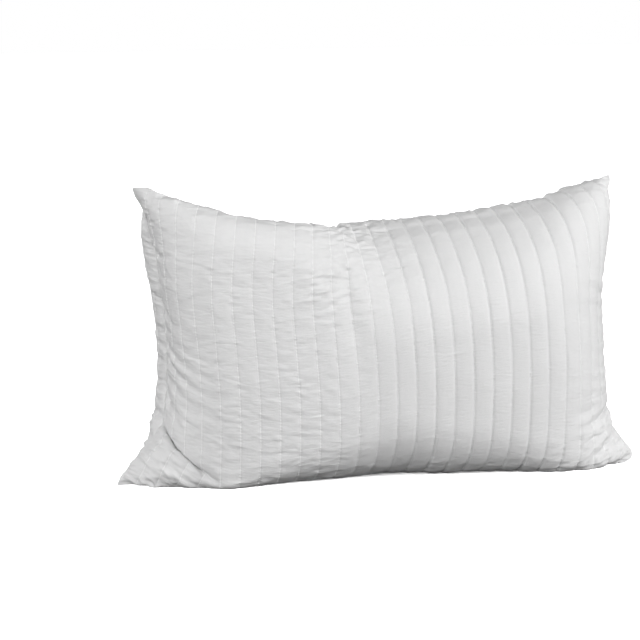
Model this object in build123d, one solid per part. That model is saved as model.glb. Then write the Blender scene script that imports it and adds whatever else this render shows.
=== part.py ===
"""Quilted bed pillow standing on its long edge, in millimetres.

+X runs along the pillow, the front face looks towards -Y and +Z is up.  The origin is on the
resting surface, under the middle of the pillow.

Each face is a quilted panel of three layers: face fabric, wadding and backing.  The two panels
meet in one seam all round, in the plane y = 0, and the loose fibre fill lies between them.
Every layer is the same crowned body taken a little further in, so the layers nest.
"""

from build123d import *
from math import asin, atan2, degrees, pi, sin, sqrt
import os

# The standing pillow, over its fabric.
half_length = 355.0
half_thickness = 110.0
corner_height = 393.0
top_sag = 52.0
side_pull_in = 36.0
top_corner_pull_in = 20.0
bottom_corner_height = 3.0
belly_drop = 40.0

# The layers of one panel, from the outside in.
face_fabric_thickness = 0.5
wadding_thickness = 4.0
backing_thickness = 0.4

# Sewing.
channels = 28
thread_width = 0.8
quilting_thread_depth = 0.6
quilting_end_gap = 4.0
seam_thread_depth = 0.8
seam_thread_inset = 1.0
closing_length = 180.0
closing_middle_height = 205.0
closing_stitch_pitch = 9.0
closing_stitch_reach = 3.0

# The blank care label, sewn into the side seam and lying towards the back.
label_height = 40.0
label_length = 25.0
label_thickness = 0.4
label_middle_height = 75.0
label_tuck = 0.2

# How finely the crowned surfaces and the thread rows are measured out.
surface_rows = 25
surface_columns = 33
thread_points = 17

front = -1
back = 1

wadding_inset = face_fabric_thickness
backing_inset = wadding_inset + wadding_thickness
fill_inset = backing_inset + backing_thickness


def seam_span(u, inset):
    """The heights of the bottom and the top seam at u, which runs from -1 to 1 along the pillow."""
    middle = 1.0 - u * u
    bottom = bottom_corner_height - belly_drop * middle + inset
    top = corner_height - top_sag * middle - inset
    return bottom, top


def crown_point(u, v, inset, side):
    """A point of the crowned body; v runs from -1 at the bottom seam to 1 at the top seam."""
    bottom, top = seam_span(u, inset)
    pulled_in = side_pull_in * (1.0 - v * v) + top_corner_pull_in * (1.0 + v) / 2
    x = u * (half_length - inset - pulled_in)
    y = side * (half_thickness - inset) * sqrt(max(0.0, (1.0 - u * u) * (1.0 - v * v)))
    z = bottom + (top - bottom) * (1.0 + v) / 2
    return Vector(x, y, z)


def share_at_height(u, height, inset):
    """The v at which the crowned body is at a given height."""
    bottom, top = seam_span(u, inset)
    return 2.0 * (height - bottom) / (top - bottom) - 1.0


def spaced(count):
    """Values from -1 to 1 that crowd towards both ends, where the surface turns fastest."""
    return [sin(pi * (step / (count - 1) - 0.5)) for step in range(count)]


def crown_face(inset, side):
    """One crowned face, with its four edges in the plane y = 0."""
    points = [[crown_point(u, v, inset, side) for v in spaced(surface_rows)]
              for u in spaced(surface_columns)]
    return Face.make_surface_from_array_of_points(points)


def above(height):
    """Everything above a height, as one large block."""
    size = 4 * half_length
    return Pos(0, 0, height + size / 2) * Box(size, size, size)


def outline_face(inset):
    """The flat face inside the seam, in the plane y = 0."""
    return Face(Wire(crown_face(inset, front).edges()))


def half_body(inset, side):
    """The crowned body on one side of the seam plane, standing flat at the height of its inset."""
    crown = crown_face(inset, side)
    flat = Face(Wire(crown.edges()))
    return Solid(Shell([crown, flat])) & above(inset)


def layer(outer_inset, inner_inset, side):
    """One layer of a panel: a thin crowned shell, open at the seam plane."""
    return half_body(outer_inset, side) - half_body(inner_inset, side)


def fibre_fill():
    """The loose fill, in one piece between the two backings."""
    both_crowns = Shell([crown_face(fill_inset, front), crown_face(fill_inset, back)])
    return Solid(both_crowns) & above(fill_inset)


def quilting_row(u, side):
    """One row of quilting thread, half sunk in the face fabric, from the base up to the top seam."""
    low = share_at_height(u, quilting_end_gap, 0.0)
    high = share_at_height(u, seam_span(u, 0.0)[1] - quilting_end_gap, 0.0)
    angles = [asin(low) + (asin(high) - asin(low)) * step / (thread_points - 1)
              for step in range(thread_points)]
    corners = []
    for inset, shift in ((-1, -1), (-1, 1), (1, 1), (1, -1)):
        move = Vector(shift * thread_width / 2, 0, 0)
        corners.append(Edge.make_spline(
            [crown_point(u, sin(a), inset * quilting_thread_depth / 2, side) + move for a in angles]))
    sides = [Face.make_surface_from_curves(corners[i], corners[(i + 1) % 4]) for i in range(4)]
    ends = [Face(Wire.make_polygon([edge @ end for edge in corners])) for end in (0, 1)]
    return Solid(Shell(sides + ends))


def quilting_thread(side):
    """All the rows of one panel: one between each two channels."""
    return Compound([quilting_row(2.0 * row / channels - 1.0, side) for row in range(1, channels)])


def seam_slab(inset):
    """The area inside the seam, as thick as the seam thread."""
    slab = extrude(outline_face(inset), seam_thread_depth / 2, dir=(0, 1, 0), both=True)
    return slab & above(inset)


def seam_thread():
    """The seam that joins the two panels, one closed run of thread just inside their edges."""
    return seam_slab(seam_thread_inset) - seam_slab(seam_thread_inset + thread_width)


def side_seam_place(height):
    """A place on the +X seam, with its x axis pointing out and its z axis along the seam."""
    step = 1.0
    here = crown_point(1.0, share_at_height(1.0, height, 0.0), 0.0, back)
    higher = crown_point(1.0, share_at_height(1.0, height + step, 0.0), 0.0, back)
    lean = degrees(atan2(higher.X - here.X, higher.Z - here.Z))
    return Location(here) * Rotation(0, lean, 0)


def closing_thread():
    """The stitches that close the slit where the fill goes in, each over the edge of the seam."""
    count = round(closing_length / closing_stitch_pitch)
    start = closing_middle_height - closing_stitch_pitch * (count - 1) / 2
    stitch = Box(thread_width, 2 * closing_stitch_reach, thread_width)
    return Compound([side_seam_place(start + closing_stitch_pitch * n) * stitch
                     for n in range(count)])


def care_label():
    """A blank tape label whose edge is caught in the side seam."""
    tape = Box(label_thickness, label_length, label_height, align=(Align.MIN, Align.MIN, Align.CENTER))
    return side_seam_place(label_middle_height) * Pos(-label_tuck, 0, 0) * tape


def write(name, shape):
    shape.label = name
    export_step(shape, f"parts/{name}.step")


os.makedirs("parts", exist_ok=True)

for side_name, side in (("front", front), ("back", back)):
    write(f"{side_name}_face_fabric", layer(0.0, wadding_inset, side))
    write(f"{side_name}_wadding", layer(wadding_inset, backing_inset, side))
    write(f"{side_name}_backing", layer(backing_inset, fill_inset, side))
    write(f"{side_name}_quilting_thread", quilting_thread(side))

write("fibre_fill", fibre_fill())
write("seam_thread", seam_thread())
write("closing_thread", closing_thread())
write("care_label", care_label())
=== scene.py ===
"""Quilted bed pillow standing on its long edge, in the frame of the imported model.

Each face is a flat sheet, 740 x 480 mm, sewn to the other all round.  The pillow's shape comes from
a small cloth simulation of the two sheets, filled by pressure, held along the seam and standing on
the floor.  The channels, puckers and stitches are then laid on that shape in fine geometry.
"""

import math

import bmesh
import bpy
import numpy as np
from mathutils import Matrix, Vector
from mathutils.bvhtree import BVHTree


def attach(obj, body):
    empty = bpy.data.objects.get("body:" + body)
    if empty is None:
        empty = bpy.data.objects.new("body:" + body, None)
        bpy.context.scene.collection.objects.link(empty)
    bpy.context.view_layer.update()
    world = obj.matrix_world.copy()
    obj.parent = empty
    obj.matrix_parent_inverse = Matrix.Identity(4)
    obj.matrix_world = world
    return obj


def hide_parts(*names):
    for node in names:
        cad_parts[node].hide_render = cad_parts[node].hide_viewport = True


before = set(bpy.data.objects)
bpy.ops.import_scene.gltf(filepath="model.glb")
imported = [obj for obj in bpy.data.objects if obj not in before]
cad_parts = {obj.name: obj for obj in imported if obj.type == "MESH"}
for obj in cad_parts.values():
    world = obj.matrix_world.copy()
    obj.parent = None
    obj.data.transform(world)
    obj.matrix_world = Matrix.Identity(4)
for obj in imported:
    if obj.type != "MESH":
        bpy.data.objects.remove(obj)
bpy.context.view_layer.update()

FRONT, BACK = 0, 1
SEED = 7

# The flat cut of one panel, in metres.
LENGTH = 0.740
HEIGHT = 0.480
CHANNELS = 28

# Fineness: cells of the simulated sheets at each stage, of the finished fabric and of the hidden layers.
STAGES = ((56, 36, 300), (112, 72, 200), (168, 108, 120))
CELLS_PER_CHANNEL = 10
FINE_V = 336
INNER_U = 168
INNER_V = 108

# The seam as it lies on the standing pillow: share of the way round each edge, then x, y, z.
TOP_SEAM = (
    (0.000, -0.316, -0.008, 0.386),
    (0.036, -0.298, -0.030, 0.387),
    (0.071, -0.278, -0.045, 0.381),
    (0.107, -0.256, -0.052, 0.377),
    (0.143, -0.233, -0.056, 0.370),
    (0.179, -0.209, -0.060, 0.361),
    (0.214, -0.186, -0.062, 0.352),
    (0.286, -0.143, -0.062, 0.343),
    (0.340, -0.104, -0.060, 0.339),
    (0.393, -0.062, -0.052, 0.327),
    (0.410, -0.051, -0.026, 0.314),
    (0.425, -0.045, -0.004, 0.318),
    (0.455, -0.032, 0.012, 0.328),
    (0.500, -0.009, 0.018, 0.331),
    (0.575, 0.044, 0.022, 0.334),
    (0.675, 0.112, 0.022, 0.340),
    (0.776, 0.181, 0.022, 0.350),
    (0.857, 0.235, 0.018, 0.355),
    (0.900, 0.261, 0.016, 0.366),
    (0.964, 0.302, 0.014, 0.376),
    (1.000, 0.329, 0.010, 0.385),
)
BOTTOM_SEAM = (
    (0.000, -0.344, -0.050, 0.001),
    (0.065, -0.302, -0.048, 0.001),
    (0.158, -0.240, -0.030, 0.002),
    (0.258, -0.172, -0.005, 0.002),
    (0.380, -0.082, 0.005, 0.002),
    (0.500, 0.003, -0.010, 0.002),
    (0.600, 0.074, -0.030, 0.002),
    (0.800, 0.217, -0.044, 0.002),
    (0.900, 0.285, -0.046, 0.002),
    (1.000, 0.339, -0.048, 0.001),
)
LEFT_SEAM = (
    (0.000, -0.344, -0.050, 0.001),
    (0.072, -0.328, -0.042, 0.026),
    (0.130, -0.310, -0.032, 0.040),
    (0.181, -0.294, -0.022, 0.053),
    (0.226, -0.282, -0.012, 0.066),
    (0.264, -0.275, -0.006, 0.081),
    (0.373, -0.268, 0.004, 0.126),
    (0.511, -0.267, 0.006, 0.185),
    (0.638, -0.270, 0.006, 0.239),
    (0.783, -0.281, 0.002, 0.300),
    (0.912, -0.298, -0.003, 0.353),
    (1.000, -0.317, -0.008, 0.385),
)
RIGHT_SEAM = (
    (0.00, 0.339, -0.048, 0.001),
    (0.03, 0.351, -0.046, 0.005),
    (0.06, 0.357, -0.038, 0.016),
    (0.10, 0.348, -0.026, 0.030),
    (0.15, 0.334, -0.012, 0.046),
    (0.25, 0.327, 0.000, 0.076),
    (0.42, 0.321, 0.002, 0.146),
    (0.58, 0.316, 0.002, 0.215),
    (0.67, 0.313, 0.002, 0.250),
    (0.78, 0.320, 0.004, 0.297),
    (0.90, 0.325, 0.008, 0.348),
    (1.00, 0.329, 0.010, 0.383),
)

# How much of the cut height the quilting gathers up, by share of the length.
GATHERED = ((0.00, 0.00), (0.40, 0.01), (0.50, 0.045), (0.90, 0.045), (1.00, 0.02))
GATHERED_ALONG = 0.025

# The fill: its push on the sheets, and how far it comes forward and back of the seam.
PRESSURE = 120.0
SHEET_MASS = 1.4
GRAVITY = 9.81
START_SHARE = 0.6
BELLY = 0.120
BELLY_RUN = 0.100
CROWN_TUCK = 0.08
CROWN_MIDDLE = 0.9
BASE_TUCK = 0.09

# The valley that runs down the front from the fold in the top edge.
VALLEY_U = 0.412
VALLEY_LEAN = 0.05
VALLEY_REACH = 0.012
VALLEY_SPREAD = 0.05
VALLEY_DEPTH = 0.045
VALLEY_FOOT = 0.30
VALLEY_POWER = 2.2

# The solver.
TIME_STEP = 0.0015
KEPT_SPEED = 0.96
TOP_SPEED = 1.0
PASSES = 3
LONG_SPANS = (24, 8, 3)
SQUEEZE_SHARE = 0.22
SHEAR_SHARE = 0.35
SHEAR_SQUEEZE = 0.3
BEND_SHARE = 0.25
BEND_SLACK = 0.985
SEAM_SHARE = 0.35
CELLS_PER_ROUNDING = 50
SMOOTHING = 2
CORNER_SMOOTHING = 30
CORNER_REACH = 0.045

# The quilting and its puckers, in metres.  The channels plump up to the right from a share of the
# length, over a run.  Slants, ripples and crimps are each a size, humps along and humps up.
CROWDING = 0.5
PUFF_LEFT = 0.0012
PUFF_RIGHT = 0.0027
PUFF_RISE = (0.35, 0.25)
PUFF_POWER = 0.5
PUFF_END_POWER = 0.5
PUFF_RUN_OUT = 0.020
PUFF_UNEVEN = (0.25, CHANNELS, 12)
PUCKER = 0.0013
PUCKER_SLANTS = ((0.030, 7, 5), (0.010, CHANNELS, 9))
PUCKER_RIPPLES = ((0.7, 50, 52), (0.6, 84, 98))
MID_CHANNEL_PUCKER = 0.65
CRIMP = (0.0020, 120, 8)
CRIMP_REACH = 0.016
DEEPEST = 0.0015
EDGE_RUN_OUT = 0.006

# Where the fabric is limp: how much, then where it starts and over what run, or how far it reaches.
EVEN_LIMPNESS = 0.10
LEFT_LIMP = (0.60, 0.50, 0.12)
LEFT_LIMP_FADE = 0.30
BASE_LIMP = (0.8, 0.22, 0.16)
SIDE_LIMP = (0.7, 0.045)
END_LIMP = (0.8, 0.030)
LEFT_CORNER_LIMP = 1.5
RIGHT_CORNER_EXTRA = 1.2
CORNER_LIMP_REACH = 0.095
FOLD_LIMP = (1.5, 0.09)
FOLD_LIMP_RISE = (0.60, 0.2)
FOLD_U = 0.43
LIMPEST = 3.6

# The single wrinkles: their number, height, share of height kept and gained by limpness, and form.
WRINKLES = 1000
WRINKLE = 0.0017
WRINKLE_KEPT = 0.2
WRINKLE_GAINED = 0.6
WRINKLE_CREST = 1.6
WRINKLE_SLANT = 13
WRINKLE_BEND = 4.0
WRINKLE_LONG = (0.006, 0.040)
WRINKLE_WIDE = (0.0020, 0.0055)

# The ridge outside the seam.
RIDGE = 0.0030
RIDGE_HALF = 0.0004
SCALLOP = 0.3
SCALLOPS = 70
RIDGE_RUN_OUT = 0.03
FLOOR_GAP = 0.0004

# Thread.
THREAD_RIBS = 5
THREAD_HALF = 0.00065
STITCH_PITCH = 0.0042
STITCH_LENGTH = 0.0030
STITCH_START = 0.006
STITCH_RISE = 0.00060
STITCH_DIVE = 0.6
STITCH_TIP = 0.45
SEAM_PITCH = 0.0034
SEAM_STITCH = 0.0022
SEAM_STITCH_TIP = 0.4
SEAM_THREAD_HALF = 0.0009
CLOSING_FROM = 0.36
CLOSING_TO = 0.80
CLOSING_COUNT = 20
CLOSING_LIFT = 0.0007
CLOSING_SLANT = 0.0015
CLOSING_TIP = 0.5

# The blank label in the right-hand seam.
LABEL_SPAN = (0.19, 0.30)
LABEL_LENGTH = 0.025
LABEL_HALF = 0.0002
LABEL_CELLS = 12
LABEL_TURN = (70, 35)
LABEL_BEND = 0.008

# The hidden layers, by their depth under the sheet.  They stop short of the seam by a share of the
# sheet, and lie less deep where half the way through the pillow is less than the full-depth gap.
INNER_EDGE = 0.022
WADDING_TOP = 0.0016
WADDING_UNDER = 0.0044
BACKING_DEPTH = 0.0052
FILL_DEPTH = 0.0064
FULL_DEPTH_GAP = 0.0105
RAY_START = 0.0003

# Materials: colours, and the sizes of threads and fibres in millimetres.
CLOTH_SPECULAR = 0.15
COTTON = (0.80, 0.80, 0.80)
COTTON_SHADE = (0.70, 0.70, 0.70)
COTTON_TONE = {"slub": 0.35, "cloud": 0.35, "weave": 0.30}
# The thread has its own white, lifted further as a painted highlight so the stitch rows show bright lines
# in their shaded valleys.
THREAD_WHITE_AND_PAINTED_HIGHLIGHT = (0.97, 0.97, 0.97)
THREAD_TWIST_AND_PAINTED_HIGHLIGHT = (0.94, 0.94, 0.94)
BACKING_WHITE = (0.90, 0.90, 0.89)
TAPE_WHITE = (0.92, 0.92, 0.91)
WADDING_WHITE = (0.93, 0.93, 0.92)
FILL_WHITE = (0.94, 0.94, 0.93)
WAVE_UNIT = 0.314
WEAVE_PITCH = 0.55
WEAVE_DEPTH = 0.06
CRINKLE_DEPTH = 0.7
TWIST_DEPTH = 0.12
WADDING_FIBRE = 1.5
FILL_FIBRE = 2.5
CLUMP_FIBRES = 6
CLUMP_DEPTH = 2.0
STRAND_DEPTH = 0.8
FLUFF_SHADE = 0.86
BACKING_PITCH = 0.9
BACKING_WEAVE_DEPTH = 0.15
BACKING_SHADE = 0.85
RIB_DEPTH = 0.08
TAPE_SHADE = 0.88

# The studio.  The room is white at the level of the floor and darker upwards; each light is its
# name, place, size and power.
WORLD_LOW = 0.55
WORLD_LOW_AT = 0.2
WORLD_HIGH = 0.15
FLOOR_REACH = 6
FLOOR_SEEN = 3.8
FLOOR_BOUNCE = 0.06
BOUNCE_DROP = 0.0005
LIGHT_TARGET = (0.0, 0.0, 0.20)
LIGHTS = (
    ("key", (2.6, -1.2, 0.9), 0.8, 48),
    ("front", (-1.0, -3.0, 1.5), 1.8, 53),
    ("left_fill", (-3.0, -1.1, 0.9), 1.6, 22),
    ("back", (-0.8, 3.4, 0.4), 1.2, 30),
)

# The camera, in degrees and metres, with the width of the picture at the pillow.
CAMERA_TURN = -9.5
CAMERA_RISE = 11.5
CAMERA_DISTANCE = 3.3
PICTURE_WIDTH = 0.8544
SENSOR_WIDTH = 36
AIM_HEIGHT = 0.183
AIM_LEFT = 0.0668
AIM_UP = 0.016


def along(anchors, count):
    """Points spaced evenly by the anchors' first value, read straight between them."""
    table = np.array(anchors)
    at = np.linspace(0.0, 1.0, count + 1)
    return np.stack([np.interp(at, table[:, 0], table[:, k]) for k in (1, 2, 3)], axis=1)


def smooth_line(line, times):
    """Rounds a line of points off, with its ends kept."""
    for _ in range(times):
        line[1:-1] = 0.25 * line[:-2] + 0.5 * line[1:-1] + 0.25 * line[2:]
    return line


def grid_uv(nu, nv):
    """The rest places of the cells' corners, from 0 to 1 each way."""
    return np.meshgrid(np.linspace(0, 1, nu + 1), np.linspace(0, 1, nv + 1), indexing="ij")


def near(distance, reach):
    """One at no distance, fading away over the reach."""
    return np.exp(-(distance / reach) ** 2)


def between_seams(nu, nv):
    """A smooth surface that spans the four seams."""
    top, bottom = along(TOP_SEAM, nu), along(BOTTOM_SEAM, nu)
    left, right = along(LEFT_SEAM, nv), along(RIGHT_SEAM, nv)
    u, v = grid_uv(nu, nv)
    u, v = u[..., None], v[..., None]
    surface = (1 - v) * bottom[:, None] + v * top[:, None] + (1 - u) * left[None] + u * right[None]
    return surface - ((1 - u) * (1 - v) * bottom[0] + u * (1 - v) * bottom[-1]
                      + (1 - u) * v * top[0] + u * v * top[-1])


def belly_limits(nu, nv):
    """How far the fill lets the front come forward and the back go back."""
    u, v = grid_uv(nu, nv)
    round_ends = 1 - np.exp(-np.minimum(u, 1 - u) / BELLY_RUN)
    tuck = CROWN_TUCK * (2 * v - CROWN_MIDDLE) ** 2 + BASE_TUCK * np.clip(1 - 2 * v, 0, 1) ** 2
    crown = BELLY * round_ends * (1 - tuck)
    valley_u = VALLEY_U + VALLEY_LEAN * (1 - v)
    reach = VALLEY_REACH + VALLEY_SPREAD * (1 - v)
    depth = VALLEY_DEPTH * np.clip((v - VALLEY_FOOT) / (1 - VALLEY_FOOT), 0, 1) ** VALLEY_POWER
    valley = depth * np.exp(-np.abs(u - valley_u) / reach)
    lean = between_seams(nu, nv)[..., 1] * (1 - round_ends)
    return lean - crown + valley, lean + crown


def start_shape(nu, nv):
    """The two sheets laid between the four seams, blown up a little."""
    u, v = grid_uv(nu, nv)
    flat = between_seams(nu, nv)
    bulge = START_SHARE * BELLY * np.sqrt(np.sin(np.pi * u) * np.sin(np.pi * v))
    both = np.stack([flat, flat])
    both[FRONT, ..., 1] -= bulge
    both[BACK, ..., 1] += bulge
    both[..., 2] = np.maximum(both[..., 2], 0)
    return both


def pull(p, a, b, length, share_out, share_in):
    """Moves the points p[a] and p[b] towards their distance, by one share if they are too far
    apart and by another if they are too close."""
    gap = p[b] - p[a]
    now = np.sqrt((gap * gap).sum(-1, keepdims=True)) + 1e-9
    share = np.where(now > length, share_out, share_in)
    move = gap * (0.5 * share * (1 - length / now))
    p[a] += move
    p[b] -= move


def halves(count, step):
    """Pairs of each point with the one step further on, in two lots with no point twice in a lot."""
    starts = np.arange(count + 1 - step)
    for phase in (0, 1):
        chosen = starts[(starts // step) % 2 == phase]
        yield chosen, chosen + step


def join_seam(p):
    """Sews the two sheets' edges together."""
    for edge in ((slice(None), 0), (slice(None), -1)):
        p[edge] = p[edge].mean(axis=0)
    for end in (0, -1):
        p[:, :, end] = p[:, :, end].mean(axis=0)


def relax(p, nu, nv, steps):
    """Lets the sheets settle."""
    du, dv = LENGTH * (1 - GATHERED_ALONG) / nu, HEIGHT / nv
    diagonal = math.hypot(du, dv)
    gathered = np.interp(np.linspace(0, 1, nu + 1), *np.array(GATHERED).T)
    tall = (dv * (1 - gathered)).reshape(-1, 1, 1)
    front_limit, back_limit = belly_limits(nu, nv)
    top, bottom = smooth_line(along(TOP_SEAM, nu), nu // CELLS_PER_ROUNDING), along(BOTTOM_SEAM, nu)
    left, right = along(LEFT_SEAM, nv), along(RIGHT_SEAM, nv)
    whole = slice(None)
    speed = np.zeros_like(p)
    for step in range(steps):
        across = np.gradient(p, axis=1)
        upward = np.gradient(p, axis=2)
        area = np.cross(across, upward)
        area[BACK] *= -1
        push = area * (PRESSURE / (SHEET_MASS * du * dv))
        push[..., 2] -= GRAVITY
        before = p.copy()
        speed = (speed + push * TIME_STEP) * KEPT_SPEED
        p = p + speed * TIME_STEP
        p[:, :, -1] += SEAM_SHARE * (top - p[:, :, -1])
        p[:, :, 0] += SEAM_SHARE * (bottom - p[:, :, 0])
        p[:, 0] += SEAM_SHARE * (left - p[:, 0])
        p[:, -1] += SEAM_SHARE * (right - p[:, -1])
        for _ in range(PASSES):
            for span in LONG_SPANS:
                for a, b in halves(nu, span):
                    pull(p, (whole, a), (whole, b), span * du, 1.0, 0.0)
                for a, b in halves(nv, span):
                    pull(p, (whole, whole, a), (whole, whole, b), span * tall, 1.0, 0.0)
            for a, b in halves(nu, 1):
                pull(p, (whole, a), (whole, b), du, 1.0, SQUEEZE_SHARE)
            for a, b in halves(nv, 1):
                pull(p, (whole, whole, a), (whole, whole, b), tall, 1.0, SQUEEZE_SHARE)
            for a, b in halves(nu, 1):
                pull(p, (whole, a, slice(0, nv)), (whole, b, slice(1, nv + 1)), diagonal,
                     SHEAR_SHARE, SHEAR_SQUEEZE * SHEAR_SHARE)
                pull(p, (whole, a, slice(1, nv + 1)), (whole, b, slice(0, nv)), diagonal,
                     SHEAR_SHARE, SHEAR_SQUEEZE * SHEAR_SHARE)
            for a, b in halves(nu, 2):
                pull(p, (whole, a), (whole, b), 2 * du * BEND_SLACK, 0.0, BEND_SHARE)
            for a, b in halves(nv, 2):
                pull(p, (whole, whole, a), (whole, whole, b), 2 * tall * BEND_SLACK, 0.0, BEND_SHARE)
            join_seam(p)
        p[FRONT, ..., 1] = np.maximum(p[FRONT, ..., 1], front_limit)
        p[BACK, ..., 1] = np.minimum(p[BACK, ..., 1], back_limit)
        below = p[..., 2] < 0
        p[..., 2] = np.maximum(p[..., 2], 0)
        speed = np.clip((p - before) / TIME_STEP, -TOP_SPEED, TOP_SPEED)
        speed[below] = 0
    return p


def read_at(p, across, upward):
    """The same sheets at other places along and up them, read between the points by a smooth curve."""
    for axis, places in ((1, across), (2, upward)):
        p = np.moveaxis(p, axis, 0)
        old = p.shape[0] - 1
        at = places * old
        i = np.clip(at.astype(int), 0, old - 1)
        t = (at - i).reshape((-1,) + (1,) * (p.ndim - 1))
        before = np.where((i > 0).reshape(t.shape), p[np.maximum(i - 1, 0)], 2 * p[0] - p[1])
        after = np.where((i + 2 <= old).reshape(t.shape), p[np.minimum(i + 2, old)],
                         2 * p[old] - p[old - 1])
        here, there = p[i], p[i + 1]
        p = 0.5 * (2 * here + (there - before) * t
                   + (2 * before - 5 * here + 4 * there - after) * t ** 2
                   + (3 * here - before - 3 * there + after) * t ** 3)
        p = np.moveaxis(p, 0, axis)
    return p


def soften(p):
    """Rounds the sheets off a little all over, and more at the four corners, where they pinch."""
    u, v = grid_uv(p.shape[1] - 1, p.shape[2] - 1)
    from_corner = np.hypot(np.minimum(u, 1 - u) * LENGTH, np.minimum(v, 1 - v) * HEIGHT)
    share = near(from_corner, CORNER_REACH)[1:-1, 1:-1, None]
    for _ in range(SMOOTHING):
        p[:, 1:-1] = 0.25 * p[:, :-2] + 0.5 * p[:, 1:-1] + 0.25 * p[:, 2:]
        p[:, :, 1:-1] = 0.25 * p[:, :, :-2] + 0.5 * p[:, :, 1:-1] + 0.25 * p[:, :, 2:]
    for _ in range(CORNER_SMOOTHING):
        around = 0.25 * (p[:, :-2, 1:-1] + p[:, 2:, 1:-1] + p[:, 1:-1, :-2] + p[:, 1:-1, 2:])
        p[:, 1:-1, 1:-1] += share * (around - p[:, 1:-1, 1:-1])
    return p


def simulate():
    """The shape of the two sheets, settled at one fineness after another."""
    shape = None
    for nu, nv, steps in STAGES:
        if shape is None:
            shape = start_shape(nu, nv)
        else:
            shape = read_at(shape, np.linspace(0, 1, nu + 1), np.linspace(0, 1, nv + 1))
        shape = relax(shape, nu, nv, steps)
    return soften(shape)


def unit(vectors):
    """The vectors, each made one long."""
    return vectors / (np.linalg.norm(vectors, axis=-1, keepdims=True) + 1e-12)


def outward(points):
    """Which way is out at each point of the two sheets."""
    normal = unit(np.cross(np.gradient(points, axis=1), np.gradient(points, axis=2)))
    normal[BACK] *= -1
    return normal


def channel_places():
    """Where the fabric's columns stand: crowded at the stitch rows, where the surface turns fastest."""
    step = np.arange(CELLS_PER_CHANNEL) / CELLS_PER_CHANNEL
    within = CROWDING * (0.5 - 0.5 * np.cos(np.pi * step)) + (1 - CROWDING) * step
    return np.append((np.arange(CHANNELS)[:, None] + within).reshape(-1), CHANNELS) / CHANNELS


def noise(random, u, v, columns, rows):
    """Smooth random values from -1 to 1, with about one hump in each cell of a loose grid."""
    lattice = random.uniform(-1, 1, (columns + 2, rows + 2))
    x, y = np.clip(u, 0, 1) * columns, np.clip(v, 0, 1) * rows
    i, j = x.astype(int), y.astype(int)
    s, t = x - i, y - j
    s, t = s * s * (3 - 2 * s), t * t * (3 - 2 * t)
    low = lattice[i, j] * (1 - s) + lattice[i + 1, j] * s
    high = lattice[i, j + 1] * (1 - s) + lattice[i + 1, j + 1] * s
    return low * (1 - t) + high * t


def rising(value, start, run):
    """None below the start, growing to one over the run."""
    return np.clip((value - start) / run, 0, 1)


def falling(value, start, run):
    """None above the start, growing to one over the run as the value goes down."""
    return np.clip((start - value) / run, 0, 1)


def ripples(random, u, v, layers):
    """Several layers of smooth random values, one over the other."""
    return sum(size * noise(random, u, v, columns, rows) for size, columns, rows in layers)


def limpness(u, v):
    """Where the fabric is slack enough to wrinkle, from nearly none up to the limpest."""
    from_side = np.minimum(u, 1 - u) * LENGTH
    from_end = np.minimum(v, 1 - v) * HEIGHT
    limp = EVEN_LIMPNESS + LEFT_LIMP[0] * falling(u, *LEFT_LIMP[1:]) * (1 - LEFT_LIMP_FADE * v)
    limp = limp + BASE_LIMP[0] * falling(v, *BASE_LIMP[1:])
    limp = limp + SIDE_LIMP[0] * near(from_side, SIDE_LIMP[1]) + END_LIMP[0] * near(from_end, END_LIMP[1])
    at_corner = near(np.hypot(from_side, v * HEIGHT), CORNER_LIMP_REACH)
    limp = limp + (LEFT_CORNER_LIMP + RIGHT_CORNER_EXTRA * u) * at_corner
    return limp + FOLD_LIMP[0] * near(u - FOLD_U, FOLD_LIMP[1]) * rising(v, *FOLD_LIMP_RISE)


def limp_places(random, count):
    """Random places on the cut, more of them where the fabric is limp."""
    tried = random.random((20 * count, 3))
    kept = tried[tried[:, 2] * LIMPEST < limpness(tried[:, 0], tried[:, 1])]
    return kept[:count, :2]


def wrinkles(random, u, v):
    """Many single wrinkles, lying mostly across the channels."""
    x, z = u * LENGTH, v * HEIGHT
    height = np.zeros_like(u)
    for middle_u, middle_v in limp_places(random, WRINKLES):
        long, wide, sharp = random.random(3)
        slant = math.radians(random.normal(0, WRINKLE_SLANT))
        bend = random.normal(0, WRINKLE_BEND)
        limp_share = WRINKLE_KEPT + WRINKLE_GAINED * limpness(middle_u, middle_v)
        size = WRINKLE * random.uniform(-1, 1) * limp_share
        half_long = WRINKLE_LONG[0] + (WRINKLE_LONG[1] - WRINKLE_LONG[0]) * long ** 2
        half_wide = WRINKLE_WIDE[0] + (WRINKLE_WIDE[1] - WRINKLE_WIDE[0]) * wide ** 2
        right, rise = x - middle_u * LENGTH, z - middle_v * HEIGHT
        on = right * math.cos(slant) + rise * math.sin(slant)
        off = (rise * math.cos(slant) - right * math.sin(slant) + bend * on * on) / half_wide
        body = np.exp(-off * off) * np.clip(1 - (on / half_long) ** 2, 0, 1)
        height += size * body * (1 - sharp + sharp * WRINKLE_CREST * off)
    return height


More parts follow.
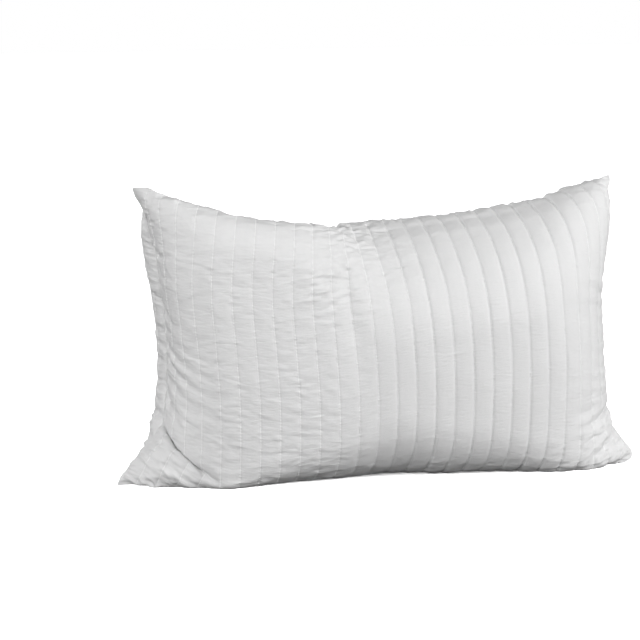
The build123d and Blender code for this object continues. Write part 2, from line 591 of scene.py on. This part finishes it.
def fabric_height(side, u, v):
    """How far the quilted fabric stands proud of the simulated sheet: channels, wrinkles and crimps."""
    random = np.random.default_rng(SEED + side)
    from_end = np.minimum(v, 1 - v) * HEIGHT
    in_channel = (u * CHANNELS) % 1.0
    arch = (4 * in_channel * (1 - in_channel)) ** PUFF_POWER
    plump = PUFF_LEFT + (PUFF_RIGHT - PUFF_LEFT) * rising(u, *PUFF_RISE)
    uneven = 1 + ripples(random, u, v, [PUFF_UNEVEN])
    puff = plump * uneven * arch * np.clip(from_end / PUFF_RUN_OUT, 0, 1) ** PUFF_END_POWER
    slant = v + ripples(random, u, v, PUCKER_SLANTS)
    ripple = ripples(random, u, slant, PUCKER_RIPPLES)
    gather = MID_CHANNEL_PUCKER + (1 - MID_CHANNEL_PUCKER) * np.abs(2 * in_channel - 1)
    pucker = gather * (PUCKER * limpness(u, v) * ripple + wrinkles(random, u, v))
    crimp = near(from_end, CRIMP_REACH) * ripples(random, u, v, [CRIMP])
    edge = np.clip(np.minimum(np.minimum(u, 1 - u) * LENGTH, from_end) / EDGE_RUN_OUT, 0, 1)
    return puff + edge * np.maximum(pucker + crimp, -DEEPEST)


def with_ridge(sheets, random):
    """The two sheets with the narrow ridge outside the seam, where their edges are sewn together."""
    edges = {"left": (slice(None), 0), "right": (slice(None), -1),
             "bottom": (slice(None), slice(None), 0), "top": (slice(None), slice(None), -1)}
    inside = {"left": (slice(None), 2), "right": (slice(None), -3),
              "bottom": (slice(None), slice(None), 2), "top": (slice(None), slice(None), -3)}
    grown = np.zeros((2, sheets.shape[1] + 2, sheets.shape[2] + 2, 3))
    grown[:, 1:-1, 1:-1] = sheets
    seam = {}
    for name, edge in edges.items():
        line = sheets[edge][FRONT]
        leaving = unit(sheets[edge] - sheets[inside[name]])
        out = leaving.mean(axis=0)
        apart = unit(leaving[BACK] - leaving[FRONT])
        place = np.linspace(0, 1, len(line))
        reach = RIDGE * (1 + SCALLOP * noise(random, place, 0 * place, SCALLOPS, 1))
        reach *= np.clip(np.minimum(place, 1 - place) / RIDGE_RUN_OUT, 0, 1)
        tip = line + out * reach[:, None]
        tip[:, 2] = np.maximum(tip[:, 2], FLOOR_GAP)
        seam[name] = {"line": line, "out": out, "apart": apart, "tip": tip}
    seam_ring = {"left": (1, slice(1, -1)), "right": (-2, slice(1, -1)),
                 "bottom": (slice(1, -1), 1), "top": (slice(1, -1), -2)}
    tip_ring = {"left": (0, slice(1, -1)), "right": (-1, slice(1, -1)),
                "bottom": (slice(1, -1), 0), "top": (slice(1, -1), -1)}
    for name in edges:
        grown[(FRONT, *seam_ring[name])] = seam[name]["line"] + seam[name]["apart"] * RIDGE_HALF
        grown[(BACK, *seam_ring[name])] = seam[name]["line"] - seam[name]["apart"] * RIDGE_HALF
        grown[(slice(None), *tip_ring[name])] = seam[name]["tip"]
    for end_u, first in ((0, "left"), (-1, "right")):
        for end_v, second in ((0, "bottom"), (-1, "top")):
            corner = sheets[FRONT, end_u, end_v]
            grown[:, end_u, end_v] = seam[first]["tip"][end_v] + seam[second]["tip"][end_u] - corner
    grown[..., 2] = np.maximum(grown[..., 2], FLOOR_GAP)
    return grown, seam


def make_mesh(name, points, faces):
    """A smooth-shaded mesh from its points and faces."""
    mesh = bpy.data.meshes.new(name)
    mesh.from_pydata(points.reshape(-1, 3).tolist(), [], faces)
    mesh.polygons.foreach_set("use_smooth", np.ones(len(mesh.polygons), dtype=bool))
    return mesh


def grid_faces(index):
    """Quads over a grid of point numbers."""
    corners = [index[:-1, :-1], index[1:, :-1], index[1:, 1:], index[:-1, 1:]]
    return np.stack(corners, axis=-1).reshape(-1, 4)


def numbers(shape, start=0):
    """The point numbers of a grid, counted from the start."""
    return start + np.arange(shape[0] * shape[1]).reshape(shape[0], shape[1])


def sheet_mesh(name, points, side, flat):
    """One open sheet, with its flat cut as its UV map."""
    quads = grid_faces(numbers(points.shape))
    if side == BACK:
        quads = quads[:, ::-1]
    mesh = make_mesh(name, points, quads.tolist())
    layer = mesh.uv_layers.new(name="OFBake")
    layer.uv.foreach_set("vector", flat.reshape(-1, 2)[quads.reshape(-1)].astype(np.float32).reshape(-1))
    return mesh


def closed_mesh(name, outer, inner):
    """A closed form between two grids of points."""
    first = numbers(outer.shape)
    second = numbers(inner.shape, first.size)
    rim_one, rim_two = [np.concatenate([n[:-1, 0], n[-1, :-1], n[:0:-1, -1], n[0, :0:-1]])
                        for n in (first, second)]
    rim = np.stack([rim_one, np.roll(rim_one, -1), np.roll(rim_two, -1), rim_two], axis=-1)
    quads = np.concatenate([grid_faces(first), grid_faces(second)[:, ::-1], rim])
    points = np.concatenate([outer.reshape(-1, 3), inner.reshape(-1, 3)])
    return facing_out(make_mesh(name, points, quads.tolist()))


def facing_out(mesh):
    """Turns every face of a closed mesh outwards."""
    work = bmesh.new()
    work.from_mesh(mesh)
    bmesh.ops.recalc_face_normals(work, faces=work.faces)
    work.to_mesh(mesh)
    work.free()
    return mesh


def thread_mesh(name, paths, sides, ups, half_width, half_height):
    """Many short pieces of thread, each along its own path and closed at both ends."""
    turn = 2 * np.pi * np.arange(THREAD_RIBS) / THREAD_RIBS
    rings = (paths[:, :, None]
             + sides[:, :, None] * (half_width[:, None] * np.cos(turn))[None, :, :, None]
             + ups[:, :, None] * (half_height[:, None] * np.sin(turn))[None, :, :, None])
    index = np.arange(rings.size // 3).reshape(rings.shape[:3])
    beside = np.roll(index, -1, axis=2)
    quads = np.stack([index[:, :-1], beside[:, :-1], beside[:, 1:], index[:, 1:]], axis=-1)
    faces = quads.reshape(-1, 4).tolist() + index[:, 0, ::-1].tolist() + index[:, -1].tolist()
    return facing_out(make_mesh(name, rings, faces))


def between(line, places, at):
    """The line's points at the given places along it."""
    return np.stack([np.interp(at, places, line[:, k]) for k in range(3)], axis=-1)


def row_stitches(name, sheet, normal, upward):
    """The stitches of every quilting row of one panel."""
    starts = np.arange(STITCH_START, HEIGHT - STITCH_START, STITCH_PITCH) / HEIGHT
    at = starts[:, None] + STITCH_LENGTH / HEIGHT * np.linspace(0, 1, 3)
    paths, ups = [], []
    for row in range(1, CHANNELS):
        column = row * CELLS_PER_CHANNEL
        paths.append(between(sheet[column], upward, at))
        ups.append(unit(between(normal[column], upward, at)))
    paths, ups = np.concatenate(paths), np.concatenate(ups)
    along_row = unit(np.gradient(paths, axis=1))
    sides = unit(np.cross(along_row, ups))
    paths = paths + ups * (STITCH_RISE * np.array([-STITCH_DIVE, 1.0, -STITCH_DIVE]))[:, None]
    paths[..., 2] = np.maximum(paths[..., 2], 2 * THREAD_HALF)
    taper = np.array([STITCH_TIP, 1.0, STITCH_TIP])
    return thread_mesh(name, paths, sides, ups, THREAD_HALF * taper, THREAD_HALF * taper)


def seam_stitches(name, seam, across, upward):
    """The stitches of the seam, round all four sides."""
    paths, sides, ups = [], [], []
    for edge, places, size in (("left", upward, HEIGHT), ("right", upward, HEIGHT),
                               ("bottom", across, LENGTH), ("top", across, LENGTH)):
        starts = np.arange(SEAM_PITCH, size - SEAM_PITCH, SEAM_PITCH) / size
        at = starts[:, None] + SEAM_STITCH / size * np.linspace(0, 1, 3)
        paths.append(between(seam[edge]["line"], places, at))
        sides.append(unit(between(seam[edge]["apart"], places, at)))
        ups.append(unit(between(seam[edge]["out"], places, at)))
    paths, sides, ups = np.concatenate(paths), np.concatenate(sides), np.concatenate(ups)
    paths[..., 2] = np.maximum(paths[..., 2], 2 * THREAD_HALF)
    taper = np.array([SEAM_STITCH_TIP, 1.0, SEAM_STITCH_TIP])
    return thread_mesh(name, paths, sides, ups, SEAM_THREAD_HALF * taper, THREAD_HALF * taper)


def closing_stitches(name, grown):
    """The overcast stitches that close the filling slit, each looped over the ridge."""
    rows = np.linspace(CLOSING_FROM, CLOSING_TO, CLOSING_COUNT) * (grown.shape[2] - 1)
    rows = rows.astype(int)
    front_in, front_seam = grown[FRONT, -4, rows], grown[FRONT, -2, rows]
    back_in, back_seam = grown[BACK, -4, rows], grown[BACK, -2, rows]
    tip = grown[FRONT, -1, rows]
    middle = 0.5 * (front_seam + back_seam)
    out, apart = unit(tip - middle), unit(front_seam - back_seam)
    paths = np.stack([front_in, front_seam + apart * CLOSING_LIFT, tip + out * CLOSING_LIFT,
                      back_seam - apart * CLOSING_LIFT, back_in], axis=1)
    paths[:, :, 2] += CLOSING_SLANT * np.linspace(-1, 1, 5)
    sides = np.zeros_like(paths)
    sides[..., 2] = 1.0
    ups = unit(np.cross(unit(np.gradient(paths, axis=1)), sides))
    taper = np.array([CLOSING_TIP, 1.0, 1.0, 1.0, CLOSING_TIP])
    return thread_mesh(name, paths, sides, ups, THREAD_HALF * taper, THREAD_HALF * taper)


def label_mesh(name, seam, upward):
    """The blank tape label, caught in the right-hand seam and bending away to the back."""
    low, high = between(seam["right"]["line"], upward, np.array(LABEL_SPAN))
    down = np.linspace(0, LABEL_LENGTH, LABEL_CELLS + 1)
    turn = np.radians(LABEL_TURN[0]) + np.radians(LABEL_TURN[1]) * (1 - np.exp(-down / LABEL_BEND))
    step = LABEL_LENGTH / LABEL_CELLS
    x = np.cumsum(np.cos(turn)) * step
    y = np.cumsum(np.sin(turn)) * step
    foot = low[None] + (high - low)[None] * np.linspace(0, 1, LABEL_CELLS + 1)[:, None]
    face = foot[:, None] + np.stack([x, y, 0 * x], axis=-1)[None]
    normal = unit(np.cross(np.gradient(face, axis=0), np.gradient(face, axis=1)))
    return closed_mesh(name, face + normal * LABEL_HALF, face - normal * LABEL_HALF)


def half_way_through(sheets, normals):
    """Half the way through the pillow, straight inwards from each point or from its neighbours."""
    panels, columns, rows = sheets.shape[:3]
    points, inwards = sheets.reshape(-1, 3), -normals.reshape(-1, 3)
    quads = [grid_faces(numbers((columns, rows), panel * columns * rows)) for panel in range(panels)]
    cloth = BVHTree.FromPolygons(points.tolist(), np.concatenate(quads).tolist())
    rays = [cloth.ray_cast(start, way) for start, way in zip(points + inwards * RAY_START, inwards)]
    half = np.array([LENGTH if length is None else 0.5 * length for *_, length in rays])
    around = np.pad(half.reshape(panels, columns, rows), ((0, 0), (1, 1), (1, 1)), mode="edge")
    least = np.minimum.reduce([around[:, i:i + columns, j:j + rows] for i in range(3) for j in range(3)])
    return least[..., None]


def inset(sheets, normals, gap, depth):
    """The sheets moved inwards by a depth, less where the pillow is thin."""
    return sheets - normals * depth * np.minimum(1, gap / FULL_DEPTH_GAP)


def add_piece(name, mesh, material, node):
    """One piece of the pillow, which stands for one node of the frame."""
    piece = bpy.data.objects.new(name, mesh)
    bpy.context.scene.collection.objects.link(piece)
    piece.data.materials.append(material)
    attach(piece, "root")
    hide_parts(node)
    return piece


def new_material(name, colour, roughness, sheen, sheen_roughness):
    """A fabric shader, with the values that are the same all over it."""
    material = bpy.data.materials.new(name)
    material.use_nodes = True
    shader = material.node_tree.nodes["Principled BSDF"]
    shader.inputs["Base Color"].default_value = (*colour, 1)
    shader.inputs["Roughness"].default_value = roughness
    shader.inputs["Sheen Weight"].default_value = sheen
    shader.inputs["Sheen Roughness"].default_value = sheen_roughness
    shader.inputs["Specular IOR Level"].default_value = CLOTH_SPECULAR
    return material, material.node_tree, shader


def shaded(colour, share):
    """The colour, darkened to a share of itself."""
    return tuple(share * value for value in colour)


def cut_position(tree):
    """The place on the flat cut, in millimetres, so that the weave runs with the fabric."""
    place = tree.nodes.new("ShaderNodeUVMap")
    place.uv_map = "OFBake"
    scale = tree.nodes.new("ShaderNodeVectorMath")
    scale.operation = "SCALE"
    scale.inputs["Scale"].default_value = 1000 * (LENGTH + 2 * RIDGE)
    tree.links.new(place.outputs["UV"], scale.inputs[0])
    return scale.outputs["Vector"]


def solid_position(tree):
    """The place in the piece, in millimetres."""
    place = tree.nodes.new("ShaderNodeTexCoord")
    scale = tree.nodes.new("ShaderNodeVectorMath")
    scale.operation = "SCALE"
    scale.inputs["Scale"].default_value = 1000
    tree.links.new(place.outputs["Object"], scale.inputs[0])
    return scale.outputs["Vector"]


def threads_pattern(tree, place, direction, pitch, wobble):
    """Parallel threads, a pitch apart in millimetres."""
    wave = tree.nodes.new("ShaderNodeTexWave")
    wave.bands_direction = direction
    wave.inputs["Scale"].default_value = WAVE_UNIT / pitch
    wave.inputs["Distortion"].default_value = wobble
    wave.inputs["Detail"].default_value = 1
    tree.links.new(place, wave.inputs["Vector"])
    return wave.outputs["Fac"]


def soft_noise(tree, place, size, detail, stretch=(1, 1, 1)):
    """Soft random values, with humps of a size in millimetres, drawn out along the axes."""
    mapping = tree.nodes.new("ShaderNodeMapping")
    mapping.inputs["Scale"].default_value = stretch
    pattern = tree.nodes.new("ShaderNodeTexNoise")
    pattern.inputs["Scale"].default_value = 1 / size
    pattern.inputs["Detail"].default_value = detail
    tree.links.new(place, mapping.inputs["Vector"])
    tree.links.new(mapping.outputs["Vector"], pattern.inputs["Vector"])
    return pattern.outputs["Fac"]


def combine(tree, operation, first, second):
    """Two values put together, either of them a plain number or another node's value."""
    node = tree.nodes.new("ShaderNodeMath")
    node.operation = operation
    for socket, value in zip(node.inputs, (first, second)):
        if isinstance(value, (int, float)):
            socket.default_value = value
        else:
            tree.links.new(value, socket)
    return node.outputs["Value"]


def spread(tree, value, low, high):
    """The value, from 0 to 1, spread from low to high."""
    node = tree.nodes.new("ShaderNodeMapRange")
    node.inputs["To Min"].default_value = low
    node.inputs["To Max"].default_value = high
    tree.links.new(value, node.inputs["Value"])
    return node.outputs["Result"]


def colour_between(tree, shader, value, darker, lighter):
    """Paints the shader with a mix of two colours."""
    mix = tree.nodes.new("ShaderNodeMix")
    mix.data_type = "RGBA"
    mix.inputs["A"].default_value = (*darker, 1)
    mix.inputs["B"].default_value = (*lighter, 1)
    tree.links.new(value, mix.inputs["Factor"])
    tree.links.new(mix.outputs["Result"], shader.inputs["Base Color"])


def raise_surface(tree, shader, heights):
    """Bump from one height pattern after another, each with its own depth in millimetres."""
    below = None
    for value, depth in heights:
        bump = tree.nodes.new("ShaderNodeBump")
        bump.inputs["Distance"].default_value = depth / 1000
        tree.links.new(value, bump.inputs["Height"])
        if below is not None:
            tree.links.new(below, bump.inputs["Normal"])
        below = bump.outputs["Normal"]
    tree.links.new(below, shader.inputs["Normal"])


def cotton_material():
    """Smooth white cotton: a close weave, crosswise crinkles, a soft sheen and a faint unevenness."""
    material, tree, shader = new_material("white_cotton", COTTON, roughness=0.72, sheen=0.12,
                                          sheen_roughness=0.45)
    place = cut_position(tree)
    weft = threads_pattern(tree, place, "Y", WEAVE_PITCH, wobble=0.4)
    warp = threads_pattern(tree, place, "X", WEAVE_PITCH, wobble=0.4)
    weave = combine(tree, "MULTIPLY", warp, weft)
    crinkle = soft_noise(tree, place, size=3.0, detail=3, stretch=(0.28, 1, 1))
    slub = soft_noise(tree, place, size=6.0, detail=4, stretch=(1, 0.12, 1))
    cloud = soft_noise(tree, place, size=45.0, detail=3)
    slub_part = combine(tree, "MULTIPLY", slub, COTTON_TONE["slub"])
    cloud_part = combine(tree, "MULTIPLY", cloud, COTTON_TONE["cloud"])
    weave_part = combine(tree, "MULTIPLY", weave, COTTON_TONE["weave"])
    tone = combine(tree, "ADD", slub_part, combine(tree, "ADD", cloud_part, weave_part))
    colour_between(tree, shader, tone, COTTON_SHADE, COTTON)
    tree.links.new(spread(tree, slub, low=0.62, high=0.80), shader.inputs["Roughness"])
    raise_surface(tree, shader, ((crinkle, CRINKLE_DEPTH), (weave, WEAVE_DEPTH)))
    return material


def thread_material():
    """White polyester thread: bright, a little glossy, with its twist showing; part of its brightness is a
    painted highlight.
    """
    material, tree, shader = new_material("white_thread", THREAD_WHITE_AND_PAINTED_HIGHLIGHT, roughness=0.42, sheen=0.15,
                                          sheen_roughness=0.3)
    place = solid_position(tree)
    twist = threads_pattern(tree, place, "DIAGONAL", pitch=0.6, wobble=0.3)
    # The thread's colours include a painted highlight on top of its own white.
    colour_between(tree, shader, twist, THREAD_TWIST_AND_PAINTED_HIGHLIGHT, THREAD_WHITE_AND_PAINTED_HIGHLIGHT)
    raise_surface(tree, shader, ((twist, TWIST_DEPTH),))
    return material


def fluff_material(name, colour, fibre):
    """Matted polyester fibre."""
    material, tree, shader = new_material(name, colour, roughness=0.95, sheen=0.35,
                                          sheen_roughness=0.6)
    place = solid_position(tree)
    strands = soft_noise(tree, place, fibre, detail=6, stretch=(1, 1, 0.25))
    clumps = soft_noise(tree, place, CLUMP_FIBRES * fibre, detail=3)
    tone = combine(tree, "MULTIPLY", strands, spread(tree, clumps, low=1.1, high=1.7))
    colour_between(tree, shader, tone, shaded(colour, FLUFF_SHADE), colour)
    raise_surface(tree, shader, ((clumps, CLUMP_DEPTH), (strands, STRAND_DEPTH)))
    return material


def backing_material():
    """Thin plain-woven cotton, looser than the face."""
    material, tree, shader = new_material("backing_cotton", BACKING_WHITE, roughness=0.85, sheen=0.1,
                                          sheen_roughness=0.5)
    place = cut_position(tree)
    warp = threads_pattern(tree, place, "X", BACKING_PITCH, wobble=0.6)
    weft = threads_pattern(tree, place, "Y", BACKING_PITCH, wobble=0.6)
    weave = combine(tree, "MULTIPLY", warp, weft)
    colour_between(tree, shader, weave, shaded(BACKING_WHITE, BACKING_SHADE), BACKING_WHITE)
    raise_surface(tree, shader, ((weave, BACKING_WEAVE_DEPTH),))
    return material


def tape_material():
    """Woven satin tape, with fine ribs across it."""
    material, tree, shader = new_material("label_tape", TAPE_WHITE, roughness=0.45, sheen=0.1,
                                          sheen_roughness=0.4)
    place = solid_position(tree)
    ribs = threads_pattern(tree, place, "Z", pitch=0.5, wobble=0.2)
    fibre = soft_noise(tree, place, size=0.8, detail=2)
    tone = combine(tree, "MULTIPLY", ribs, fibre)
    colour_between(tree, shader, tone, shaded(TAPE_WHITE, TAPE_SHADE), TAPE_WHITE)
    raise_surface(tree, shader, ((ribs, RIB_DEPTH),))
    return material


def add_world(scene):
    """A pale room all round, white at the level of the floor and darker upwards."""
    world = bpy.data.worlds.new("studio")
    scene.world = world
    world.use_nodes = True
    nodes, links = world.node_tree.nodes, world.node_tree.links
    towards = nodes.new("ShaderNodeTexCoord")
    parts = nodes.new("ShaderNodeSeparateXYZ")
    ramp = nodes.new("ShaderNodeValToRGB")
    links.new(towards.outputs["Generated"], parts.inputs["Vector"])
    links.new(parts.outputs["Z"], ramp.inputs["Fac"])
    links.new(ramp.outputs["Color"], nodes["Background"].inputs["Color"])
    level, overhead = ramp.color_ramp.elements
    level.position = 0.0
    level.color = (1, 1, 1, 1)
    overhead.position = 1.0
    overhead.color = (WORLD_HIGH, WORLD_HIGH, WORLD_HIGH, 1)
    ramp.color_ramp.elements.new(WORLD_LOW_AT).color = (WORLD_LOW, WORLD_LOW, WORLD_LOW, 1)


def add_floor(scene, name, height, grey, seen):
    """A wide plain floor, either the one that is seen or the one that throws light back."""
    corners = [(FLOOR_REACH * x, FLOOR_REACH * y, height) for x, y in ((-1, -1), (1, -1), (1, 1), (-1, 1))]
    mesh = bpy.data.meshes.new(name)
    mesh.from_pydata(corners, [], [(0, 1, 2, 3)])
    floor = bpy.data.objects.new(name, mesh)
    scene.collection.objects.link(floor)
    material = bpy.data.materials.new(name)
    material.use_nodes = True
    nodes = material.node_tree.nodes
    nodes.remove(nodes["Principled BSDF"])
    matt = nodes.new("ShaderNodeBsdfDiffuse")
    matt.inputs["Color"].default_value = (grey, grey, grey, 1)
    material.node_tree.links.new(matt.outputs["BSDF"], nodes["Material Output"].inputs["Surface"])
    mesh.materials.append(material)
    floor.visible_camera = seen
    floor.visible_diffuse = not seen
    floor.visible_glossy = not seen
    floor.visible_transmission = not seen
    floor.visible_shadow = not seen


def add_light(scene, name, place, size, energy):
    """A soft square light that looks at the pillow."""
    data = bpy.data.lights.new(name, "AREA")
    data.energy = energy
    data.size = size
    light = bpy.data.objects.new(name, data)
    light.location = place
    light.rotation_euler = (Vector(LIGHT_TARGET) - Vector(place)).to_track_quat("-Z", "Y").to_euler()
    scene.collection.objects.link(light)


def add_camera(scene):
    """The camera, a little to the left of the front and above it."""
    azimuth, elevation = math.radians(CAMERA_TURN), math.radians(CAMERA_RISE)
    back = Vector((math.sin(azimuth) * math.cos(elevation), -math.cos(azimuth) * math.cos(elevation),
                   math.sin(elevation)))
    right = Vector((math.cos(azimuth), math.sin(azimuth), 0))
    up = back.cross(right)
    aim = Vector((0.0, 0.0, AIM_HEIGHT)) - right * AIM_LEFT + up * AIM_UP
    data = bpy.data.cameras.new("camera")
    data.sensor_width = SENSOR_WIDTH
    data.lens = SENSOR_WIDTH * CAMERA_DISTANCE / PICTURE_WIDTH
    camera = bpy.data.objects.new("camera", data)
    camera.location = aim + back * CAMERA_DISTANCE
    camera.rotation_euler = back.to_track_quat("Z", "Y").to_euler()
    scene.collection.objects.link(camera)
    bpy.context.scene.camera = camera


# The cloth: the simulated sheets, the quilted fabric on them and the ridge round its edge.
shape = simulate()
across = channel_places()
upward = np.linspace(0, 1, FINE_V + 1)
u, v = np.meshgrid(across, upward, indexing="ij")
bare = read_at(shape, across, upward)
normals = outward(bare)
fabric = bare.copy()
for side in (FRONT, BACK):
    fabric[side] += normals[side] * fabric_height(side, u, v)[..., None]
fabric[..., 2] = np.maximum(fabric[..., 2], FLOOR_GAP)
grown, seam = with_ridge(fabric, np.random.default_rng(SEED + 2))
surface_normals = outward(fabric)

# The flat cut of the fabric, as shares of the longer side, for its UV map.
cut = np.stack(np.meshgrid(np.concatenate([[-RIDGE], across * LENGTH, [LENGTH + RIDGE]]),
                           np.concatenate([[-RIDGE], upward * HEIGHT, [HEIGHT + RIDGE]]),
                           indexing="ij"), axis=-1)
cut = (cut + RIDGE) / (LENGTH + 2 * RIDGE)

# The hidden layers' own grid, coarser than the fabric, and how thick the pillow is there.
inner_across = np.linspace(INNER_EDGE, 1 - INNER_EDGE, INNER_U + 1)
inner_upward = np.linspace(INNER_EDGE, 1 - INNER_EDGE, INNER_V + 1)
inner_cut = np.stack(np.meshgrid(inner_across, inner_upward * HEIGHT / LENGTH, indexing="ij"), axis=-1)
core = read_at(shape, inner_across, inner_upward)
core_normals = outward(core)
gap = np.minimum(0.5 * np.linalg.norm(core[FRONT] - core[BACK], axis=-1, keepdims=True),
                 half_way_through(core, core_normals))

cotton = cotton_material()
thread = thread_material()
soft_wadding = fluff_material("wadding", WADDING_WHITE, WADDING_FIBRE)
soft_fibre = fluff_material("fibre_fill", FILL_WHITE, FILL_FIBRE)
backing_cloth = backing_material()
tape = tape_material()

for side, label in ((FRONT, "front"), (BACK, "back")):
    face = add_piece(f"{label}_face", sheet_mesh(f"{label}_face", grown[side], side, cut),
                     cotton, f"{label}_face_fabric")
    outer = inset(core[side], core_normals[side], gap[side], WADDING_TOP)
    inner = inset(core[side], core_normals[side], gap[side], WADDING_UNDER)
    wadding = add_piece(f"{label}_wadding_layer", closed_mesh(f"{label}_wadding_layer", outer, inner),
                        soft_wadding, f"{label}_wadding")
    under = inset(core[side], core_normals[side], gap[side], BACKING_DEPTH)
    backing = add_piece(f"{label}_backing_sheet",
                        sheet_mesh(f"{label}_backing_sheet", under, side, inner_cut),
                        backing_cloth, f"{label}_backing")
    add_piece(f"{label}_row_stitches",
              row_stitches(f"{label}_row_stitches", fabric[side], surface_normals[side], upward),
              thread, f"{label}_quilting_thread")

fill = [inset(core[side], core_normals[side], gap[side], FILL_DEPTH) for side in (FRONT, BACK)]
fill_piece = add_piece("fibre_filling", closed_mesh("fibre_filling", *fill), soft_fibre,
                       "fibre_fill")
add_piece("seam_stitches", seam_stitches("seam_stitches", seam, across, upward), thread,
          "seam_thread")
add_piece("closing_stitches", closing_stitches("closing_stitches", grown), thread,
          "closing_thread")
add_piece("side_label", label_mesh("side_label", seam, upward), tape, "care_label")

scene = bpy.context.scene
scene.view_settings.view_transform = "Standard"
add_world(scene)
add_floor(scene, "floor", 0.0, FLOOR_SEEN, True)
add_floor(scene, "floor_bounce", -BOUNCE_DROP, FLOOR_BOUNCE, False)
for light in LIGHTS:
    add_light(scene, *light)
add_camera(scene)
